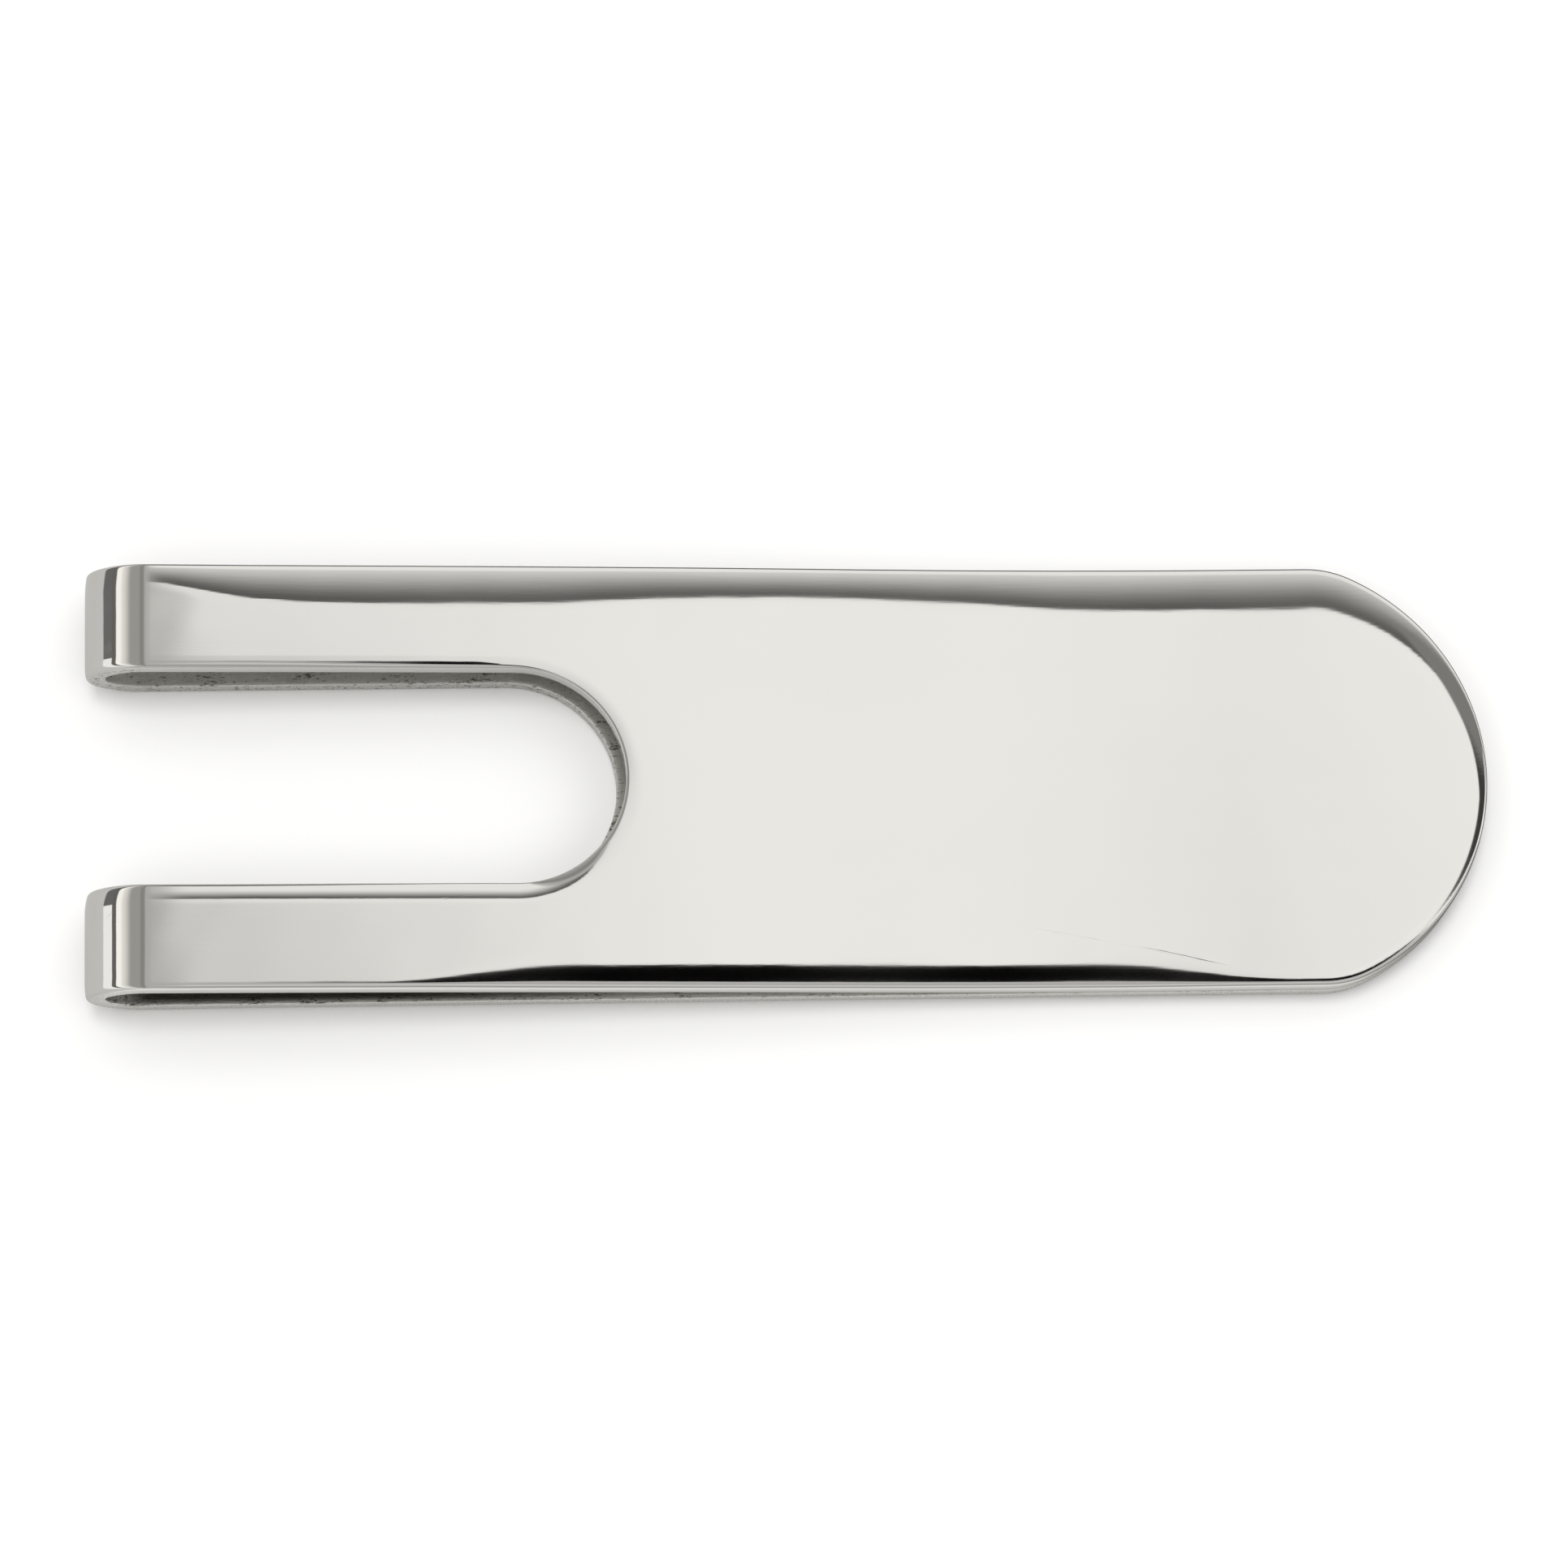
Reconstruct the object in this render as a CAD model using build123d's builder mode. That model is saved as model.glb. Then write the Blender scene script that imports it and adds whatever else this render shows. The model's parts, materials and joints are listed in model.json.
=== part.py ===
"""Money clip: one strip of spring stainless steel sheet, forked by a slot and folded once through both legs.

Millimetres. +X runs from the folds to the round mouth end, +Y across, +Z up through the front leaf.
The clip lies on the flat underside of its back leaf. The origin is under the middle of the clip.
"""

import os
from math import cos, radians, sin, sqrt

from build123d import *

os.makedirs("parts", exist_ok=True)

# The strip, measured when folded.
LENGTH = 55.0
WIDTH = 17.0
SHEET = 0.8
END_RADIUS = 9.0
END_CORNER_RADIUS = 4.0

# The slot between the legs, open through the folds. Its ends are measured from the outside of the folds.
SLOT_WIDTH = 8.6
FRONT_SLOT_LENGTH = 21.0
BACK_SLOT_LENGTH = 20.7

# The fold in side view: a tight nose between two easier shoulders.
NOSE_RADIUS = 1.57
NOSE_TURN = 90.0
SHOULDER_RADIUS = 2.53
SHOULDER_TURN = 45.0
OVERBEND = 2.0

# The front leaf in side view: bowed outwards from the folds, then eased level where it meets the back leaf.
BOW_RADIUS = 700.0
BOW_TURN = 2.2
MOUTH_GAP = 0.06

# The outside edges are softened by polishing.
EDGE_RADIUS = 0.3

# Worked out from the sizes above.
shoulder_rise = SHOULDER_RADIUS * (1 - cos(radians(SHOULDER_TURN)))
shoulder_reach = SHOULDER_RADIUS * sin(radians(SHOULDER_TURN))
nose_reach = NOSE_RADIUS * (1 - cos(radians(NOSE_TURN / 2)))
nose_half_rise = NOSE_RADIUS * sin(radians(NOSE_TURN / 2))
fold_height = 2 * (shoulder_rise + nose_half_rise)
steepest = OVERBEND + BOW_TURN
overbend_drop = SHOULDER_RADIUS * (1 - cos(radians(OVERBEND)))
bow_drop = BOW_RADIUS * (cos(radians(OVERBEND)) - cos(radians(steepest)))
mouth_top = 2 * SHEET + MOUTH_GAP
flare_drop = fold_height - overbend_drop - bow_drop - mouth_top
flare_radius = flare_drop / (1 - cos(radians(steepest)))

fold_outside = -LENGTH / 2
fold_start = fold_outside + shoulder_reach + nose_reach
mouth_end = LENGTH / 2
side_end = mouth_end - END_RADIUS + sqrt(END_RADIUS**2 - (WIDTH / 2) ** 2)
slot_radius = SLOT_WIDTH / 2
front_leg_end = fold_outside + FRONT_SLOT_LENGTH - slot_radius
back_leg_end = fold_outside + BACK_SLOT_LENGTH - slot_radius
parting = SHEET + MOUTH_GAP / 2
headroom = 2 * fold_height
hair = 1e-4


def side_line(depth):
    """Draws the strip's side view from the back leaf's mouth end round to the front's, this deep in the sheet."""
    run = Line((mouth_end, depth), (fold_start, depth))
    for radius, turn in (
        (SHOULDER_RADIUS - depth, SHOULDER_TURN),
        (NOSE_RADIUS - depth, NOSE_TURN),
        (SHOULDER_RADIUS - depth, SHOULDER_TURN + OVERBEND),
        (BOW_RADIUS - depth, BOW_TURN),
        (flare_radius + depth, -steepest),
    ):
        run = JernArc(start=run @ 1, tangent=run % 1, radius=radius, arc_size=-turn)
    Line(run @ 1, (mouth_end, mouth_top - depth))


def slot_outline(leg_end):
    """Draws the slot: a half-round inner end at the ends of the legs, straight sides, and open past the folds."""
    with Locations((leg_end, 0)):
        Circle(slot_radius)
        Rectangle(LENGTH, SLOT_WIDTH, align=(Align.MAX, Align.CENTER))


with BuildLine(Plane.XZ) as outer_face:
    side_line(0)


def is_outer_edge(edge):
    """True if the edge runs along the sheet's outer face."""
    points = [edge @ part for part in (0.1, 0.5, 0.9)]
    return all(outer_face.line.distance_to(Vector(point.X, 0, point.Z)) < hair for point in points)


with BuildPart() as sheet:
    with BuildSketch(Plane.XZ):
        with BuildLine():
            side_line(0)
            side_line(SHEET)
            Line((mouth_end, 0), (mouth_end, SHEET))
            Line((mouth_end, mouth_top), (mouth_end, mouth_top - SHEET))
        make_face()
    extrude(amount=WIDTH / 2, both=True)
    with BuildSketch() as outline:
        with BuildLine():
            ThreePointArc((side_end, -WIDTH / 2), (mouth_end, 0), (side_end, WIDTH / 2))
            Polyline(
                (side_end, WIDTH / 2),
                (fold_outside, WIDTH / 2),
                (fold_outside, -WIDTH / 2),
                (side_end, -WIDTH / 2),
            )
        make_face()
        fillet(outline.vertices().group_by(Axis.X)[-1], END_CORNER_RADIUS)
    extrude(amount=headroom, mode=Mode.INTERSECT)
    with BuildSketch(Plane.XY.offset(parting)):
        slot_outline(front_leg_end)
    extrude(amount=headroom, mode=Mode.SUBTRACT)
    with BuildSketch(Plane.XY.offset(parting)):
        slot_outline(back_leg_end)
    extrude(amount=-headroom, mode=Mode.SUBTRACT)
    fillet(sheet.edges().filter_by(Axis.Y, reverse=True).filter_by(is_outer_edge), EDGE_RADIUS)


def keep(x_span, y_span, z_span):
    """Keeps only what lies between these limits."""
    spans = (x_span, y_span, z_span)
    with Locations(tuple((low + high) / 2 for low, high in spans)):
        Box(*(high - low for low, high in spans), mode=Mode.INTERSECT)


# Where the strip is divided. Its legs are named as seen from the folds, looking towards the mouth.
fold_x = (fold_outside - SHEET, fold_start)
back_leg_x = (fold_start, back_leg_end)
back_leaf_x = (back_leg_end, mouth_end + SHEET)
front_leg_x = (fold_start, front_leg_end)
front_leaf_x = (front_leg_end, mouth_end + SHEET)
left_y = (0, WIDTH)
right_y = (-WIDTH, 0)
all_y = (-WIDTH, WIDTH)
back_z = (-SHEET, parting)
front_z = (parting, headroom)
all_z = (-SHEET, headroom)

with BuildPart() as back_leaf:
    add(sheet)
    keep(back_leaf_x, all_y, back_z)

with BuildPart() as back_leg_left:
    add(sheet)
    keep(back_leg_x, left_y, back_z)

with BuildPart() as back_leg_right:
    add(sheet)
    keep(back_leg_x, right_y, back_z)

with BuildPart() as fold_left:
    add(sheet)
    keep(fold_x, left_y, all_z)

with BuildPart() as fold_right:
    add(sheet)
    keep(fold_x, right_y, all_z)

with BuildPart() as front_leg_left:
    add(sheet)
    keep(front_leg_x, left_y, front_z)

with BuildPart() as front_leg_right:
    add(sheet)
    keep(front_leg_x, right_y, front_z)

with BuildPart() as front_leaf:
    add(sheet)
    keep(front_leaf_x, all_y, front_z)

back_leaf.part.label = "back_leaf"
back_leg_left.part.label = "back_leg_left"
back_leg_right.part.label = "back_leg_right"
fold_left.part.label = "fold_left"
fold_right.part.label = "fold_right"
front_leg_left.part.label = "front_leg_left"
front_leg_right.part.label = "front_leg_right"
front_leaf.part.label = "front_leaf"

for zone in (
    back_leaf,
    back_leg_left,
    back_leg_right,
    fold_left,
    fold_right,
    front_leg_left,
    front_leg_right,
    front_leaf,
):
    export_step(zone.part, f"parts/{zone.part.label}.step")
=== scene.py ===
"""Money clip: a strip of polished spring steel, forked by a slot and folded through both legs.

Lengths are in millimetres until a mesh, a material, the floor or the camera is written. Left is +Y and right
is -Y. The clip is drawn as one closed ring of cross-sections: back leaf, left back leg, left fold, left front
leg, front leaf, and back down the right side. Neighbouring pieces share their last section, so the polish
runs across the joins without a step.
"""

import json
from math import atan2, pi, radians, sqrt

import bpy
import numpy as np
from mathutils import Matrix, Vector


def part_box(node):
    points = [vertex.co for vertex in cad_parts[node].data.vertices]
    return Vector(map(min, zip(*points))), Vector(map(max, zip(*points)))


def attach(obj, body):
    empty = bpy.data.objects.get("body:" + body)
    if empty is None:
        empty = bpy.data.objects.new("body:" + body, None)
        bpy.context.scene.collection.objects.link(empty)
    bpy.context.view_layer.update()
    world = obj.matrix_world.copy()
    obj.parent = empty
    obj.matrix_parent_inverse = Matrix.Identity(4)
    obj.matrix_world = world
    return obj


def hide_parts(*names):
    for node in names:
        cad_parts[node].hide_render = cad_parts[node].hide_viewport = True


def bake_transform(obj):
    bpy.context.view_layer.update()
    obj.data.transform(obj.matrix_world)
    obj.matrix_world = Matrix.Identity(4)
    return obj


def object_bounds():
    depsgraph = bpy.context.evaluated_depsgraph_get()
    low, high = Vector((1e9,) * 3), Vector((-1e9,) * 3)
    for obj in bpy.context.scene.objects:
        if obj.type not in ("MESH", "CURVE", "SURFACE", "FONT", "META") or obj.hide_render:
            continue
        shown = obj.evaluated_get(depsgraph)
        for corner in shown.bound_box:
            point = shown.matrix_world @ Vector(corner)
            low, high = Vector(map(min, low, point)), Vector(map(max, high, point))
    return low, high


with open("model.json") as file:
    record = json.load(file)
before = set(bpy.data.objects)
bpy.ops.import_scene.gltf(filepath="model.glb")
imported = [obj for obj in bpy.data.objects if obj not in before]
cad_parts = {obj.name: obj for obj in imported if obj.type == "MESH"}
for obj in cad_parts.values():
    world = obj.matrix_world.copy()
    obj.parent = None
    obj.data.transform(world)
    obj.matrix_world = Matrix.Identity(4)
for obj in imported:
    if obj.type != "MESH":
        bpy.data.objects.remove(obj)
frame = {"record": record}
cad_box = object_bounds()

MM = 0.001

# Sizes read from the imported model
MOUTH_END, HALF_WIDTH, FOLD_HEIGHT = np.array(cad_box[1]) / MM
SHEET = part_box("back_leaf")[1][2] / MM
SLOT_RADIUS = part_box("back_leg_left")[0][1] / MM
BACK_LEG_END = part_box("back_leg_left")[1][0] / MM
FRONT_LEG_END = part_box("front_leg_left")[1][0] / MM
FOLD_START = frame["record"]["behaviour"]["joints"][0]["pos_m"][0] / MM

# Bends of the outer face and the round end, as in the design
NOSE_RADIUS = 1.57
SHOULDER_RADIUS = 2.53
OVERBEND = radians(2.0)
BOW_RADIUS = 700.0
BOW_TURN = radians(2.2)
MOUTH_GAP = 0.06
END_RADIUS = 9.0
END_CORNER_RADIUS = 4.0

# Buffed edges of the outer face: a shallow roll-off, which ends in a small round at the cut wall. A pair of
# numbers says from which x to which x something comes in.
ROLL_POWER = 1.2
OUTER_SLOPE = 0.158
LEFT_ROLL = 2.04
LEFT_LEG_EXTRA = 0.18
LEFT_LEG_FROM = (-5.5, -10.5)
LEFT_WAIST_LOSS = 0.33
LEFT_WAIST_MIDDLE = -0.5
LEFT_WAIST_LENGTH = 6.5
LEFT_MOUTH_EXTRA = 0.40
LEFT_MOUTH_FROM = (6.5, 12.5)
LEFT_FOLD_LOSS = 1.16
LEFT_ROUND = 0.14
RIGHT_ROLL = 0.5
RIGHT_MIDDLE_EXTRA = 1.25
RIGHT_MIDDLE_FROM = (-16.0, -8.5)
RIGHT_MIDDLE_BACK_FROM = (19.5, 12.0)
RIGHT_LEG_ROUND = 0.24
RIGHT_LEAF_ROUND = 0.19
RIGHT_LEAF_FROM = (-16.0, 0.0)
LEFT_SIDE_FROM_Y = (-4.5, 5.0)
FOLD_LOSS_LENGTH = 3.4
TIP_LOSS = 0.55
TIP_ROUND = 0.11
BACK_ROLL = 1.88
BACK_FOLD_LOSS = 1.0
BACK_TIP_LOSS = 0.5
BACK_ROUND = 0.10

# The same along the slot
SLOT_SLOPE = 0.20
RIGHT_LEG_SLOPE_EXTRA = 0.14
SLOT_END_SLOPE_LOSS = 0.65
SLOT_ROLL = 0.75
SLOT_LEFT_ROLL_LOSS = 0.25
SLOT_RIGHT_ROLL_EXTRA = 0.10
SLOT_END_ROUND = 0.05
SLOT_LEG_ROUND_EXTRA = 0.05
SLOT_LEG_FROM = (-9.5, -12.0)
SLOT_FOLD_ROUND_EXTRA = 0.17
SLOT_FOLD_FROM = (-12.0, -22.0)
SLOT_END_FROM = (-12.5, -10.3)

# The gripping face has a plain small round at both edges
INNER_ROUND = 0.05

# Buffing waves: share of the height, radians per millimetre along x, y and z, and phase. The second set is
# for the folds.
RIPPLE_HEIGHT = 0.0011
WAVES = [
    (1.00, 0.83, 0.46, 0.0, 0.7),
    (0.80, 0.52, -0.95, 0.0, 2.1),
    (0.60, 1.57, 0.31, 0.0, 4.0),
    (0.35, 2.60, -1.30, 0.0, 1.1),
    (0.25, 0.00, 1.90, 2.3, 0.4),
    (0.30, 0.20, 3.40, -1.1, 2.9),
]
FOLD_WAVES = [
    (0.50, 0.00, 4.30, 2.7, 0.0),
    (0.30, 0.00, 7.90, -3.1, 1.0),
]

# Mesh density
ARC_POINTS = 7
OUTER_POINTS = 16
SLOT_POINTS = 9
MIDDLE_POINTS = 30
WALL_POINTS = 3
LEG_STATIONS = 72
FOLD_STATIONS = 80
LEAF_STATIONS = 320


# ---------------------------------------------------------------- side profile


def front_arcs():
    """Arcs of the front leaf's outer face, from the top of the fold to the level mouth end.

    Each has its last x, its centre, its radius and 1 where it is convex or -1 where it is hollow. The second
    result is the height of the level end.
    """
    mouth_top = 2 * SHEET + MOUTH_GAP
    shoulder = (FOLD_START, FOLD_HEIGHT - SHOULDER_RADIUS)
    a = OVERBEND
    x, z = shoulder[0] + SHOULDER_RADIUS * np.sin(a), shoulder[1] + SHOULDER_RADIUS * np.cos(a)
    arcs = [(x, shoulder, SHOULDER_RADIUS, 1)]
    bow = (x - BOW_RADIUS * np.sin(a), z - BOW_RADIUS * np.cos(a))
    a += BOW_TURN
    x, z = bow[0] + BOW_RADIUS * np.sin(a), bow[1] + BOW_RADIUS * np.cos(a)
    arcs.append((x, bow, BOW_RADIUS, 1))
    flare_radius = (z - mouth_top) / (1 - np.cos(a))
    flare = (x + flare_radius * np.sin(a), z + flare_radius * np.cos(a))
    arcs.append((flare[0], flare, flare_radius, -1))
    return arcs, mouth_top


ARCS, MOUTH_TOP = front_arcs()


def front_height(x, depth):
    """Height of the front leaf at x, on the face that lies depth below its outer face."""
    z = np.full_like(x, MOUTH_TOP - depth)
    start = -np.inf
    for end, (cx, cz), radius, side in ARCS:
        r = radius - side * depth
        here = (x > start) & (x <= end)
        z = np.where(here, cz + side * np.sqrt(np.maximum(r * r - (x - cx) ** 2, 0)), z)
        start = end
    return z


def fold_point(turn, depth):
    """x and z on the fold, after a turn of 0 (underneath) to pi (on top)."""
    quarter = (SHOULDER_RADIUS - NOSE_RADIUS) * sqrt(0.5)
    nose = (FOLD_START - quarter, SHOULDER_RADIUS - quarter)
    top = (FOLD_START, FOLD_HEIGHT - SHOULDER_RADIUS)
    radius = np.where((turn > pi / 4) & (turn < 3 * pi / 4), NOSE_RADIUS, SHOULDER_RADIUS)
    cx = np.where(radius == NOSE_RADIUS, nose[0], FOLD_START)
    cz = np.where(turn <= pi / 4, SHOULDER_RADIUS, np.where(turn < 3 * pi / 4, nose[1], top[1]))
    return cx - (radius - depth) * np.sin(turn), cz - (radius - depth) * np.cos(turn)


# ---------------------------------------------------------------- plan outline


def outline(along):
    """Plan outline of a leaf, at a signed distance along it from the tip of the mouth (left side positive).

    Returns the points, the unit directions into the metal, and the outline's length from the tip to x = 0.
    """
    s, side = np.abs(along), np.where(along < 0, -1.0, 1.0)
    end_x = MOUTH_END - END_RADIUS
    reach = END_RADIUS - END_CORNER_RADIUS
    corner_y = HALF_WIDTH - END_CORNER_RADIUS
    corner_x = end_x + sqrt(reach**2 - corner_y**2)
    turn = atan2(corner_y, corner_x - end_x)
    tip_arc = END_RADIUS * turn
    corner_arc = END_CORNER_RADIUS * (pi / 2 - turn)
    in_tip, in_corner = s <= tip_arc, s <= tip_arc + corner_arc
    angle = np.where(in_tip, s / END_RADIUS, np.minimum(turn + (s - tip_arc) / END_CORNER_RADIUS, pi / 2))
    cx = np.where(in_tip, end_x, np.where(in_corner, corner_x, corner_x - (s - tip_arc - corner_arc)))
    cy = np.where(in_tip, 0.0, corner_y)
    radius = np.where(in_tip, END_RADIUS, END_CORNER_RADIUS)
    x, y = cx + radius * np.cos(angle), cy + radius * np.sin(angle)
    length = tip_arc + corner_arc + corner_x
    return np.stack([x, side * y], -1), np.stack([-np.cos(angle), -side * np.sin(angle)], -1), length


def leaf_stations(leg_end):
    """Outer points, slot points and their directions, from the right leg round the mouth to the left leg."""
    length = outline(np.zeros(1))[2] - leg_end
    u = np.linspace(-1, 1, LEAF_STATIONS + 1)
    outer, inward, _ = outline(u * length)
    angle = u * pi / 2
    away = np.stack([np.cos(angle), np.sin(angle)], -1)
    return outer, inward, np.array([leg_end, 0]) + SLOT_RADIUS * away, away


def leg_stations(x, side):
    """The same for a leg on the left (side 1) or on the right (side -1)."""
    one, zero = np.full_like(x, side), np.zeros_like(x)
    across = np.stack([zero, one], -1)
    return (
        np.stack([x, HALF_WIDTH * one], -1),
        -across,
        np.stack([x, SLOT_RADIUS * one], -1),
        across,
    )


# ---------------------------------------------------------------- cross-section


def bump_at(x, middle, width):
    """1 at the middle, falling to nothing about two widths away."""
    return np.exp(-(((x - middle) / width) ** 2))


def step(x, start, end):
    """0 up to start, 1 from end on, smooth between; start may be the larger."""
    share = np.clip((x - start) / (end - start), 0, 1)
    return share * share * (3 - 2 * share)


def outer_edge_sizes(outer, front):
    """Width of the roll-off and radius of the small round along the outer edge.

    The buffing wheel left them uneven: wide along the left edge, but on the right only along the middle.
    """
    x, y = outer.T
    near_fold = bump_at(x, FOLD_START, FOLD_LOSS_LENGTH)
    tip = np.clip((x - MOUTH_END + END_RADIUS) / END_RADIUS, 0, 1) ** 2
    if not front:
        roll = (BACK_ROLL - BACK_FOLD_LOSS * near_fold) * (1 - BACK_TIP_LOSS * tip)
        return roll, np.full_like(x, BACK_ROUND)
    waist = bump_at(x, LEFT_WAIST_MIDDLE, LEFT_WAIST_LENGTH)
    left = LEFT_ROLL + LEFT_LEG_EXTRA * step(x, *LEFT_LEG_FROM) - LEFT_WAIST_LOSS * waist
    left += LEFT_MOUTH_EXTRA * step(x, *LEFT_MOUTH_FROM) - LEFT_FOLD_LOSS * near_fold
    middle = step(x, *RIGHT_MIDDLE_FROM) * step(x, *RIGHT_MIDDLE_BACK_FROM)
    right = RIGHT_ROLL + RIGHT_MIDDLE_EXTRA * middle
    right_round = RIGHT_LEG_ROUND + (RIGHT_LEAF_ROUND - RIGHT_LEG_ROUND) * step(x, *RIGHT_LEAF_FROM)
    leftness = step(y, *LEFT_SIDE_FROM_Y)
    roll = (right + (left - right) * leftness) * (1 - TIP_LOSS * tip)
    rounding = right_round + (LEFT_ROUND - right_round) * leftness
    return np.maximum(roll, RIGHT_ROLL), rounding * (1 - tip) + TIP_ROUND * tip


def slot_edge_sizes(slot, front):
    """The same along the slot's edge, where the small round grows along the legs towards the folds."""
    x, share = slot[:, 0], slot[:, 1] / SLOT_RADIUS
    roll = SLOT_ROLL - np.where(share > 0, SLOT_LEFT_ROLL_LOSS, SLOT_RIGHT_ROLL_EXTRA) * share
    if not front:
        return roll, np.full_like(x, BACK_ROUND)
    along_legs = np.maximum(step(x, *SLOT_LEG_FROM), step(share, 0.0, -1.0))
    near_folds = step(x, *SLOT_FOLD_FROM)
    return roll, SLOT_END_ROUND + SLOT_LEG_ROUND_EXTRA * along_legs + SLOT_FOLD_ROUND_EXTRA * near_folds


def slot_edge_slope(slot, away):
    """Steepest slope of the roll-off along the slot: gentle round the slot's end, steep on the right leg."""
    gentle = np.where(away[:, 1] > 0, step(slot[:, 0], *SLOT_END_FROM), np.clip(away[:, 0], 0, 1))
    steep = step(away[:, 1], -0.6, -1.0)
    return SLOT_SLOPE * (1 - SLOT_END_SLOPE_LOSS * gentle) + RIGHT_LEG_SLOPE_EXTRA * steep


def edge_sizes(outer, slot, front):
    """Roll-off and small round of the outer edge, then of the slot's edge."""
    return (*outer_edge_sizes(outer, front), *slot_edge_sizes(slot, front))


def edge_profile(width, slope, rounding, points):
    """Distance from the edge and depth of the outer face, from the flat out to the top of the cut wall.

    width, slope and rounding have one value per station; the result has one row per station.
    """
    width, slope, rounding = width[:, None], slope[:, None], rounding[:, None]
    angle = slope
    for _ in range(4):
        first = rounding * (1 - np.sin(angle))
        angle = np.arctan(slope * (1 - first / width) ** ROLL_POWER)
    w = np.linspace(0, 1, points)[None, :] * (1 - first / width)
    distance = width * (1 - w)
    depth = width * slope * w ** (ROLL_POWER + 1) / (ROLL_POWER + 1)
    turn = angle + (pi / 2 - angle) * np.linspace(0, 1, ARC_POINTS)[None, 1:]
    arc_distance = rounding * (1 - np.sin(turn))
    arc_depth = depth[:, -1:] + rounding * (np.cos(angle) - np.cos(turn))
    return np.hstack([distance, arc_distance]), np.hstack([depth, arc_depth])


def section(outer, inward, slot, away, sizes):
    """Plan points and depths of the closed cross-section at every station.

    It runs over the outer face, down the slot's wall, back under the gripping face and up the outer wall.
    """
    width, rounding, slot_width, slot_rounding = sizes
    d_out, t_out = edge_profile(width, np.full_like(width, OUTER_SLOPE), rounding, OUTER_POINTS)
    d_slot, t_slot = edge_profile(slot_width, slot_edge_slope(slot, away), slot_rounding, SLOT_POINTS)
    from_edge = outer[:, None] + inward[:, None] * d_out[:, ::-1, None]
    from_slot = slot[:, None] + away[:, None] * d_slot[..., None]
    share = np.linspace(0, 1, MIDDLE_POINTS + 2)[None, 1:-1, None]
    middle = from_edge[:, -1:] * (1 - share) + from_slot[:, :1] * share
    face = np.concatenate([from_edge, middle, from_slot], 1)
    flat = np.zeros((len(width), MIDDLE_POINTS))
    depth = np.hstack([t_out[:, ::-1], flat, t_slot])

    # Gripping face: the same points, with a small round at each edge
    turn = np.linspace(0, pi / 2, ARC_POINTS)[None, :]
    small_d = np.broadcast_to(INNER_ROUND * (1 - np.cos(turn)), (len(width), ARC_POINTS))
    small_t = np.broadcast_to(SHEET - INNER_ROUND * (1 - np.sin(turn)), (len(width), ARC_POINTS))
    back = face.copy()
    back_depth = np.full_like(depth, SHEET)
    back[:, :ARC_POINTS] = outer[:, None] + inward[:, None] * small_d[..., None]
    back_depth[:, :ARC_POINTS] = small_t
    back[:, -ARC_POINTS:] = slot[:, None] + away[:, None] * small_d[:, ::-1, None]
    back_depth[:, -ARC_POINTS:] = small_t[:, ::-1]

    def wall(point, top, bottom):
        steps = np.linspace(0, 1, WALL_POINTS + 2)[None, 1:-1]
        plan = np.broadcast_to(point[:, None], (len(width), WALL_POINTS, 2))
        return plan, top[:, None] * (1 - steps) + bottom[:, None] * steps

    slot_plan, slot_depth = wall(slot, depth[:, -1], back_depth[:, -1])
    edge_plan, edge_depth = wall(outer, back_depth[:, 0], depth[:, 0])
    plan = np.concatenate([face, slot_plan, back[:, ::-1], edge_plan], 1)
    depths = np.hstack([depth, slot_depth, back_depth[:, ::-1], edge_depth])
    return plan, depths


def lay_flat(plan, depth):
    """Sections of the back leaf and its legs, whose outer face lies on the table."""
    x, y = plan[..., 0], plan[..., 1]
    return np.stack([x, y, depth], -1)


def lay_front(plan, depth):
    """Sections of the bowed front leaf and its legs, whose outer face is on top."""
    x, y = plan[..., 0], plan[..., 1]
    top, bottom = front_height(x, 0.0), front_height(x, SHEET)
    return np.stack([x, y, top + (bottom - top) * depth / SHEET], -1)


def lay_fold(plan, depth, turn):
    """Sections of a fold, one at each turn."""
    x, z = fold_point(np.broadcast_to(turn[:, None], depth.shape), depth)
    return np.stack([x, plan[..., 1], z], -1)


# ---------------------------------------------------------------- the ring of sections


def build_ring():
    """Points of the whole clip, one row per station, and the first and last row of each piece."""
    rows, spans = [], {}

    def add(name, points):
        first = sum(len(r) for r in rows) - (1 if rows else 0)
        rows.append(points[1:] if rows else points)
        spans[name] = (first, first + len(points) - 1)

    def leg(a, b, side, front):
        stations = leg_stations(np.linspace(a, b, LEG_STATIONS + 1), side)
        return section(*stations, edge_sizes(stations[0], stations[2], front))

    def leaf(leg_end, front):
        stations = leaf_stations(leg_end)
        return section(*stations, edge_sizes(stations[0], stations[2], front))

    def fold(side):
        turn = np.linspace(0, pi, FOLD_STATIONS + 1)
        stations = leg_stations(np.full_like(turn, FOLD_START), side)
        under = np.array(edge_sizes(stations[0], stations[2], False))
        top = np.array(edge_sizes(stations[0], stations[2], True))
        plan, depth = section(*stations, under + (top - under) * step(turn, 0.3 * pi, 0.8 * pi))
        return lay_fold(plan, depth, turn)

    add("back_leaf", lay_flat(*leaf(BACK_LEG_END, False)))
    add("back_leg_left", lay_flat(*leg(BACK_LEG_END, FOLD_START, 1, False)))
    add("fold_left", fold(1))
    add("front_leg_left", lay_front(*leg(FOLD_START, FRONT_LEG_END, 1, True)))
    add("front_leaf", lay_front(*leaf(FRONT_LEG_END, True))[::-1])
    add("front_leg_right", lay_front(*leg(FRONT_LEG_END, FOLD_START, -1, True)))
    add("fold_right", fold(-1)[::-1])
    add("back_leg_right", lay_flat(*leg(FOLD_START, BACK_LEG_END, -1, False)))
    ring = np.concatenate(rows)
    return ring[:-1], spans


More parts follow.
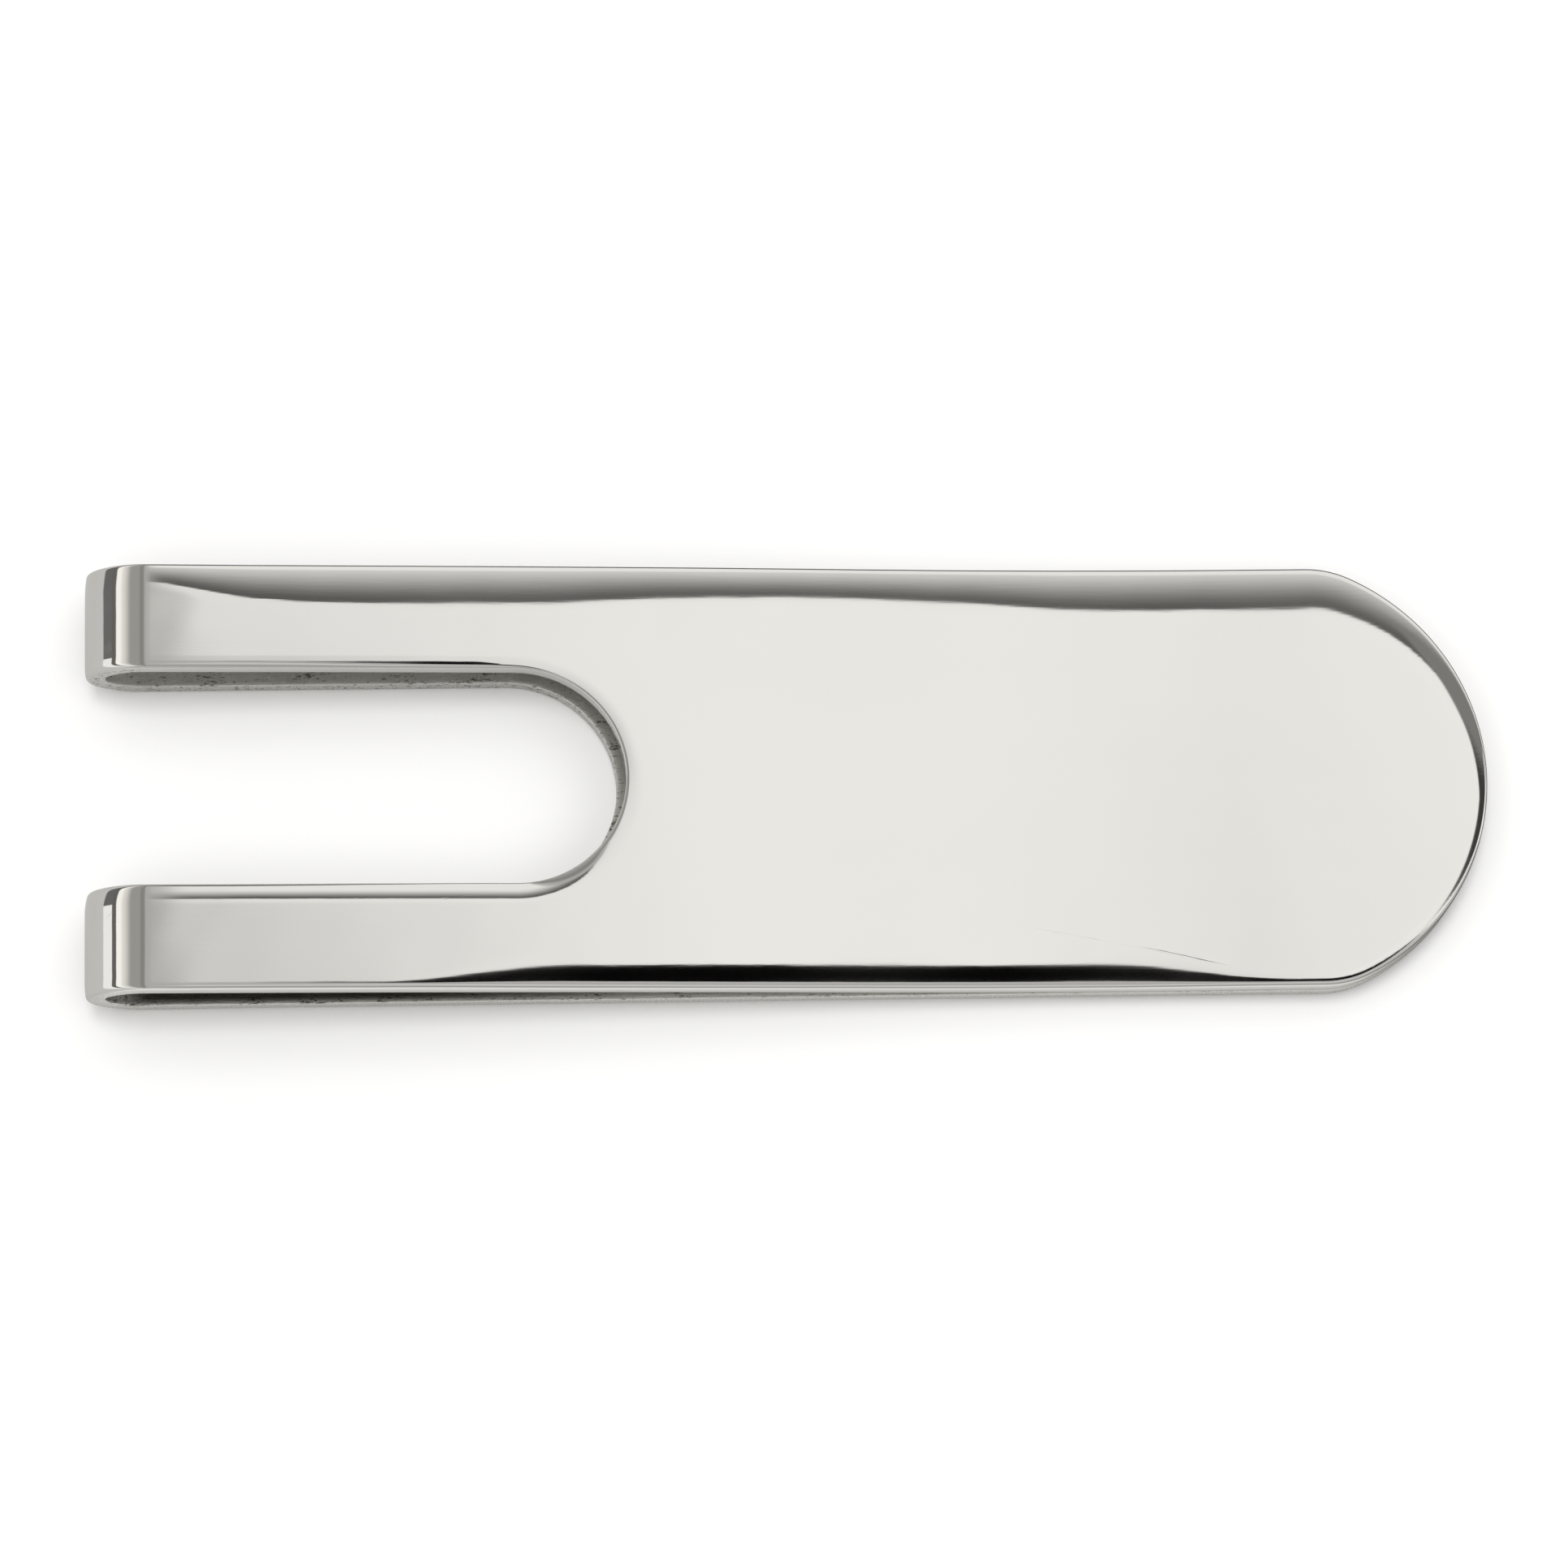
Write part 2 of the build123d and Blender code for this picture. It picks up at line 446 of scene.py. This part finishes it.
def ring_normals(points):
    """Unit normals of the closed grid, from the slopes along and across it."""

    def slope(axis):
        ahead = np.roll(points, -1, axis) - points
        behind = points - np.roll(points, 1, axis)
        a = np.linalg.norm(ahead, axis=-1, keepdims=True)
        b = np.linalg.norm(behind, axis=-1, keepdims=True)
        return ahead / a * b + behind / b * a

    normal = np.cross(slope(1), slope(0))
    return normal / np.linalg.norm(normal, axis=-1, keepdims=True)


def ripple(points):
    """Uneven polish: long, very shallow waves, a few micrometres high."""

    def sum_of(waves):
        return sum(height * np.sin(points @ np.array(way) + phase) for height, *way, phase in waves)

    return sum_of(WAVES) + bump_at(points[..., 0], FOLD_START - 1.5, 1.6) * sum_of(FOLD_WAVES)


RING, SPANS = build_ring()
FACE_COUNT = OUTER_POINTS + SLOT_POINTS + 2 * (ARC_POINTS - 1) + MIDDLE_POINTS
LOOP_COUNT = RING.shape[1]
NORMALS = ring_normals(RING)
UNDERSIDE = (LEAF_STATIONS // 2, FACE_COUNT // 2)
if NORMALS[UNDERSIDE][2] > 0:
    NORMALS = -NORMALS
polished = np.zeros(LOOP_COUNT)
polished[:FACE_COUNT] = 1.0
RING = RING + NORMALS * (RIPPLE_HEIGHT * ripple(RING) * polished[None, :])[..., None]
fresh = ring_normals(RING)
NORMALS = fresh * np.sign((fresh * NORMALS).sum(-1, keepdims=True))


# ---------------------------------------------------------------- materials


class Nodes:
    """Short calls for building a node tree."""

    def __init__(self, tree):
        self.tree = tree
        tree.nodes.clear()

    def add(self, kind, inputs=None, **settings):
        node = self.tree.nodes.new(kind)
        for key, value in settings.items():
            setattr(node, key, value)
        for key, value in (inputs or {}).items():
            if isinstance(value, bpy.types.NodeSocket):
                self.tree.links.new(value, node.inputs[key])
            else:
                node.inputs[key].default_value = value
        return node

    def math(self, operation, *values):
        node = self.add("ShaderNodeMath", dict(enumerate(values)), operation=operation)
        return node.outputs[0]

    def ramp(self, value, start, end, low=0.0, high=1.0):
        settings = {"Value": value, "From Min": start, "From Max": end, "To Min": low, "To Max": high}
        return self.add("ShaderNodeMapRange", settings, interpolation_type="SMOOTHSTEP").outputs[0]

    def mix(self, factor, a, b):
        node = self.add("ShaderNodeMix", {0: factor, 6: a, 7: b}, data_type="RGBA")
        return node.outputs[2]

    def bump(self, shader, strength, distance, height):
        node = self.add("ShaderNodeBump", {"Strength": strength, "Distance": distance, "Height": height})
        self.tree.links.new(node.outputs[0], shader.inputs["Normal"])


def steel(name, color, roughness):
    """A metal, its node tree and shader, and the place on it in metres."""
    material = bpy.data.materials.new(name)
    material.use_nodes = True
    n = Nodes(material.node_tree)
    shader = n.add("ShaderNodeBsdfPrincipled", {"Metallic": 1.0, "Roughness": roughness})
    shader.inputs["Base Color"].default_value = (*color, 1)
    n.add("ShaderNodeOutputMaterial", {"Surface": shader.outputs[0]})
    place = n.add("ShaderNodeTexCoord").outputs["Object"]
    return material, n, shader, place


def stretched(n, place, scale, turn=0.0):
    """The place, turned about Z and scaled. A scale under 1 draws a pattern out along that axis."""
    return n.add("ShaderNodeMapping", {"Vector": place, "Rotation": (0, 0, turn), "Scale": scale}).outputs[0]


def noise_at(n, place, scale, size, detail=2.0, roughness=0.5):
    """Noise whose grain is about size millimetres, stretched by scale."""
    mapped = stretched(n, place, scale)
    inputs = {"Vector": mapped, "Scale": 1 / (size * MM), "Detail": detail, "Roughness": roughness}
    return n.add("ShaderNodeTexNoise", inputs).outputs[0]


def polished_steel():
    """Mirror polish with buffing hairlines and a few long scratches."""
    material, n, shader, place = steel("mirror_polished_steel", (0.78, 0.77, 0.75), 0.05)
    hair = noise_at(n, place, (0.05, 1.0, 1.0), 0.12, 3.0)
    cloud = noise_at(n, place, (0.5, 1.0, 1.0), 5.0)
    mask = n.ramp(noise_at(n, place, (0.3, 1.0, 1.0), 2.5), 0.60, 0.72)
    long_cells = {"Vector": stretched(n, place, (0.12, 1, 1), 0.18), "Scale": 1 / (0.9 * MM)}
    cells = n.add("ShaderNodeTexVoronoi", long_cells, feature="DISTANCE_TO_EDGE").outputs[0]
    scratch = n.math("MULTIPLY", n.ramp(cells, 0.012, 0.0), mask)
    height = n.math("ADD", n.math("MULTIPLY", hair, 0.5), n.math("MULTIPLY", scratch, -0.2))
    n.bump(shader, 0.5, 0.0000016, height)
    n.tree.links.new(n.ramp(cloud, 0.3, 0.75, 0.035, 0.075), shader.inputs["Roughness"])
    return material


def satin_steel():
    """The gripping faces: grained and stained, with painted shade: the stains darker along the legs, and a
    dark painted shade along the right legs.
    """
    material, n, shader, place = steel("satin_steel", (0.6, 0.59, 0.57), 0.42)
    # Painted shade: the legs' stain colour is darker than the leaf's, and the two darkest colours are shade
    # painted into the gap between the leaves along the right legs.
    clean, leg_stain_and_painted_shade, leaf_stain = (0.74, 0.73, 0.70, 1), (0.16, 0.145, 0.12, 1), (0.50, 0.49, 0.46, 1)
    painted_gap_shade, stain_in_painted_gap_shade = (0.14, 0.13, 0.11, 1), (0.03, 0.027, 0.022, 1)
    grain = noise_at(n, place, (0.35, 1.0, 1.0), 0.07, 4.0, 0.6)
    stain = noise_at(n, place, (0.35, 1.0, 1.0), 0.5, 4.0, 0.7)
    blend = n.math("ADD", n.math("MULTIPLY", grain, 0.5), n.math("MULTIPLY", stain, 0.5))
    dark = n.ramp(blend, 0.52, 0.62)
    x, y = n.add("ShaderNodeSeparateXYZ", {0: place}).outputs[:2]
    # Painted shade: the stains are darker along the legs, deep in the gap between the leaves, than on the
    # leaf.
    color = n.mix(dark, clean, n.mix(n.ramp(x, -0.004, 0.003), leg_stain_and_painted_shade, leaf_stain))
    # Painted shade in the gap between the leaves along the right legs, kept off the fold's inner curve and
    # the outer edge.
    along = n.math("MULTIPLY", n.ramp(x, -0.004, -0.016), n.ramp(x, -0.0262, -0.0250))
    across = n.math("MULTIPLY", n.ramp(y, -0.003, -0.005), n.ramp(y, -0.0085, -0.0082))
    color = n.mix(n.math("MULTIPLY", along, across), color, n.mix(dark, painted_gap_shade, stain_in_painted_gap_shade))
    n.tree.links.new(color, shader.inputs["Base Color"])
    n.tree.links.new(n.ramp(grain, 0.3, 0.7, 0.3, 0.5), shader.inputs["Roughness"])
    height = n.math("SUBTRACT", grain, n.math("MULTIPLY", dark, 0.5))
    n.bump(shader, 0.8, 0.00002, height)
    return material


def cut_steel(name, color, pits_from, pits_to):
    """A fine-grained cut edge, with pits that come in as the noise rises from one level to the other."""
    material, n, shader, place = steel(name, color, 0.3)
    grain = noise_at(n, place, (1.0, 1.0, 0.35), 0.05, 3.0)
    pit = n.ramp(noise_at(n, place, (0.55, 0.55, 1.0), 0.13, 4.0, 0.7), pits_from, pits_to)
    n.tree.links.new(n.mix(pit, (*color, 1), (0.07, 0.06, 0.055, 1)), shader.inputs["Base Color"])
    n.tree.links.new(n.ramp(grain, 0.3, 0.7, 0.2, 0.36), shader.inputs["Roughness"])
    height = n.math("SUBTRACT", n.math("MULTIPLY", grain, 0.4), pit)
    n.bump(shader, 0.5, 0.00001, height)
    return material


MATERIALS = [
    polished_steel(),
    satin_steel(),
    cut_steel("smooth_edge_steel", (0.80, 0.79, 0.77), 0.72, 0.76),
    cut_steel("pitted_edge_steel", (0.78, 0.77, 0.75), 0.57, 0.61),
]
POLISHED, SATIN, EDGE, PITTED = range(4)


# ---------------------------------------------------------------- pieces


def strip_material(j, front):
    """Finish of the strip of faces between section point j and the next."""
    if j < FACE_COUNT - 1:
        return POLISHED
    if j < FACE_COUNT + WALL_POINTS:
        return POLISHED if front else PITTED
    if j < 2 * FACE_COUNT + WALL_POINTS - 1:
        return SATIN
    return POLISHED if front else EDGE


def piece(name, body):
    """One closed mesh: its share of the ring, with a flat cap at each end. body is back, front or fold."""
    first, last = SPANS[name]
    stations = [i % len(RING) for i in range(first, last + 1)]
    points = RING[stations].reshape(-1, 3) * MM
    normals = NORMALS[stations].reshape(-1, 3)
    count, loop = len(stations), LOOP_COUNT

    i, j = np.meshgrid(np.arange(count - 1), np.arange(loop), indexing="ij")
    k = (j + 1) % loop
    here, ahead = i * loop, (i + 1) * loop
    quads = np.stack([here + j, here + k, ahead + k, ahead + j], -1).reshape(-1, 4)
    strips = np.tile([strip_material(s, body == "front") for s in range(loop)], count - 1)

    a, b, c, d = (points[quads[0, q]] for q in range(4))
    flip = np.dot(np.cross(c - a, d - b), normals[quads[0, 0]]) < 0
    if flip:
        quads = quads[:, ::-1]

    def cap(start, turned):
        """Faces over the section that starts at this vertex: a ladder, with a larger face at either end."""
        top = [start + q for q in range(FACE_COUNT)]
        slot = [top[-1] + 1 + w for w in range(WALL_POINTS)]
        under = [slot[-1] + FACE_COUNT - q for q in range(FACE_COUNT)]
        edge = [under[0] + 1 + w for w in range(WALL_POINTS)]
        faces = [[top[q], top[q + 1], under[q + 1], under[q]] for q in range(1, FACE_COUNT - 2)]
        faces.append([top[0], top[1], under[1], under[0], *edge])
        faces.append([top[-2], top[-1], *slot, under[-1], under[-2]])
        return [f[::-1] for f in faces] if turned else faces

    caps = cap(0, not flip) + cap((count - 1) * loop, flip)
    mesh = bpy.data.meshes.new(name + "_sheet")
    mesh.from_pydata(points.tolist(), [], quads.tolist() + caps)
    for material in MATERIALS:
        mesh.materials.append(material)
    mesh.polygons.foreach_set("material_index", np.append(strips, [SATIN] * len(caps)).astype(np.int32))
    mesh.polygons.foreach_set("use_smooth", np.append(np.ones(len(quads), bool), np.zeros(len(caps), bool)))
    mesh.normals_split_custom_set_from_vertices(normals.tolist())
    mesh.update()

    thing = bpy.data.objects.new(name + "_steel", mesh)
    bpy.context.scene.collection.objects.link(thing)
    if body == "fold":
        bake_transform(thing)
    else:
        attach(thing, body)
    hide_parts(name)


for node in SPANS:
    piece(node, node.split("_")[0])


# ---------------------------------------------------------------- floor, light and camera


def floor():
    """White board to the camera. To the reflections in the steel it is greyer, as the tent's floor is, and
    darker or lighter by place: painted shade.
    """
    size, drop = 3.0, 0.00002
    mesh = bpy.data.meshes.new("floor")
    corners = [(-size, -size, -drop), (size, -size, -drop), (size, size, -drop), (-size, size, -drop)]
    mesh.from_pydata(corners, [], [(0, 1, 2, 3)])
    thing = bpy.data.objects.new("floor", mesh)
    bpy.context.scene.collection.objects.link(thing)
    material = bpy.data.materials.new("white_board")
    material.use_nodes = True
    n = Nodes(material.node_tree)
    place = n.add("ShaderNodeTexCoord").outputs["Object"]
    tint = n.mix(noise_at(n, place, (1, 1, 1), 40.0), (0.80, 0.80, 0.80, 1), (0.81, 0.81, 0.81, 1))
    board = n.add("ShaderNodeBsdfDiffuse", {"Color": tint})

    # What the steel reflects of it, from the right-hand edge of the clip to the left and from folds to mouth:
    # painted shade, darkest past the left edge and the mouth, lighter past the right-hand edge
    x, y = n.add("ShaderNodeSeparateXYZ", {0: place}).outputs[:2]
    past_right, past_left = n.ramp(y, -0.0078, -0.0092), n.ramp(y, 0.007, 0.011)
    past_folds, past_mouth = n.ramp(x, -0.0262, -0.0278), n.ramp(x, 0.022, 0.029)
    shade = n.mix(past_right, (0.54, 0.535, 0.525, 1), (0.66, 0.655, 0.645, 1))
    shade = n.mix(n.math("MAXIMUM", past_left, past_mouth), shade, (0.12, 0.118, 0.115, 1))
    shade = n.mix(past_folds, shade, (0.46, 0.457, 0.45, 1))
    grey = n.add("ShaderNodeBsdfDiffuse", {"Color": shade})
    seen = n.add("ShaderNodeLightPath").outputs["Is Camera Ray"]
    both = n.add("ShaderNodeMixShader", {0: seen, 1: grey.outputs[0], 2: board.outputs[0]})
    n.add("ShaderNodeOutputMaterial", {"Surface": both.outputs[0]})
    mesh.materials.append(material)


def studio():
    """A white tent as the world: a soft ceiling with the lens hole in it, and cards and lights round it.

    Its brightness follows the direction, in degrees north (to the left edge) and east (to the mouth).
    """
    world = bpy.data.worlds.new("studio")
    bpy.context.scene.world = world
    world.use_nodes = True
    n = Nodes(world.node_tree)
    way = n.add("ShaderNodeSeparateXYZ", {0: n.add("ShaderNodeTexCoord").outputs["Generated"]})
    x, y, z = way.outputs
    north = n.math("DEGREES", n.math("ARCTAN2", y, z))
    east = n.math("DEGREES", n.math("ARCTAN2", x, z))

    def grey(value, warm):
        return (value, value * (1 - 0.6 * warm), value * (1 - 2.4 * warm), 1)

    def bands(color, angle, steps):
        """Bands across the tent: where each one's soft border starts and ends, its brightness and warmth."""
        for start, end, value, warm in steps:
            color = n.mix(n.ramp(angle, start, end), color, grey(value, warm))
        return color

    def window(west_border, east_border, south_border, north_border):
        """1 inside four soft borders, each from its outer to its inner end."""
        across = n.math("MULTIPLY", n.ramp(east, *west_border), n.ramp(east, *east_border))
        along = n.math("MULTIPLY", n.ramp(north, *south_border), n.ramp(north, *north_border))
        return n.math("MULTIPLY", across, along)

    # Ceiling: white, a little dimmer over the legs, grey towards the camera
    over_legs = bands(grey(0.73, 0.01), north, [(12.8, 16.6, 0.91, 0.01)])
    color = n.mix(n.ramp(east, 11.5, 1.0), (1.035, 1.037, 1.013, 1), over_legs)
    ceiling = [
        (-1.8, -2.8, 0.53, 0.01),
        (-13.0, -14.0, 0.30, 0.02),
        (-18.0, -19.0, 0.68, 0.01),
        (-48.0, -60.0, 0.42, 0.02),
    ]
    color = bands(color, north, ceiling)

    # Beyond the left-hand edge: dark, lighter towards the horizon, and dark again just above it
    beyond_left = bands(grey(0.11, 0.02), north, [(20.2, 38.0, 0.98, 0.01), (72.0, 76.0, 0.10, 0.02)])
    color = n.mix(n.ramp(north, 20.0, 20.7), color, beyond_left)

    # Beyond the mouth: one dark card of two tones
    card = bands(grey(0.05, 0.02), north, [(15.5, 19.0, 0.24, 0.02)])
    color = n.mix(window((15.0, 16.5), (31.0, 28.0), (7.0, 9.0), (27.0, 24.0)), color, card)

    # Beyond the folds: grey, then a cream strip light and a dark gap
    west = [
        (3.0, 1.6, 0.50, 0.02),
        (0.8, -1.0, 0.29, 0.03),
        (-3.0, -6.0, 0.38, 0.03),
        (-19.0, -34.0, 0.85, 0.03),
        (-33.0, -41.0, 1.14, 0.025),
        (-46.5, -48.5, 0.15, 0.05),
    ]
    color = bands(color, east, west)

    # Past the gap: a light that a card hides from the left fold, and grey down to the horizon
    light_or_card = bands(grey(1.03, 0.01), y, [(0.246, 0.256, 0.16, 0.01)])
    color = n.mix(n.ramp(east, -54.5, -57.0), color, light_or_card)
    color = bands(color, east, [(-72.5, -75.0, 0.64, 0.005)])

    # The dark opening for the lens
    opening = window((1.5, 6.5), (18.0, 16.5), (-2.7, -2.0), (6.1, 5.4))
    color = n.mix(opening, color, (0.002, 0.002, 0.002, 1))
    seen = n.add("ShaderNodeLightPath").outputs["Is Camera Ray"]
    color = n.mix(seen, color, (1.0, 1.0, 1.0, 1))
    shader = n.add("ShaderNodeBackground", {"Color": color})
    n.add("ShaderNodeOutputWorld", {"Surface": shader.outputs[0]})


def lamp(name, energy, angle, tilt_x, tilt_y):
    """Light from above, which only the matte floor answers to: the steel reflects the studio alone.

    angle is how wide the light is, and the tilts turn it about X and Y, all in degrees.
    """
    light = bpy.data.lights.new(name, "SUN")
    light.energy = energy
    light.angle = radians(angle)
    thing = bpy.data.objects.new(name, light)
    thing.matrix_world = Matrix.Rotation(radians(tilt_x), 4, "X") @ Matrix.Rotation(radians(tilt_y), 4, "Y")
    thing.visible_glossy = False
    bpy.context.scene.collection.objects.link(thing)


def camera():
    """Nearly overhead: leaning to the right-hand side of the clip and a little towards its folds."""
    distance, lean, back, roll = 251.5, 14.6, 3.73, 1.59
    shift_x, shift_y = 0.183, -0.275
    sensor_width, focal_length = 36.0, 146.6
    turn = (
        Matrix.Rotation(radians(roll), 3, "Z")
        @ Matrix.Rotation(radians(-lean), 3, "X")
        @ Matrix.Rotation(radians(back), 3, "Y")
    ).transposed()
    lens = bpy.data.cameras.new("camera")
    lens.sensor_width, lens.lens = sensor_width, focal_length
    lens.clip_start, lens.clip_end = 0.01, 10.0
    thing = bpy.data.objects.new("camera", lens)
    place = turn @ Vector((-shift_x, -shift_y, distance)) * MM
    thing.matrix_world = Matrix.Translation(place) @ turn.to_4x4()
    bpy.context.scene.collection.objects.link(thing)
    bpy.context.scene.camera = thing


floor()
studio()
lamp("fill", energy=1.45, angle=125, tilt_x=-14, tilt_y=-7)
lamp("key", energy=1.0, angle=20, tilt_x=-8.5, tilt_y=-6)
camera()
bpy.context.scene.view_settings.view_transform = "Standard"
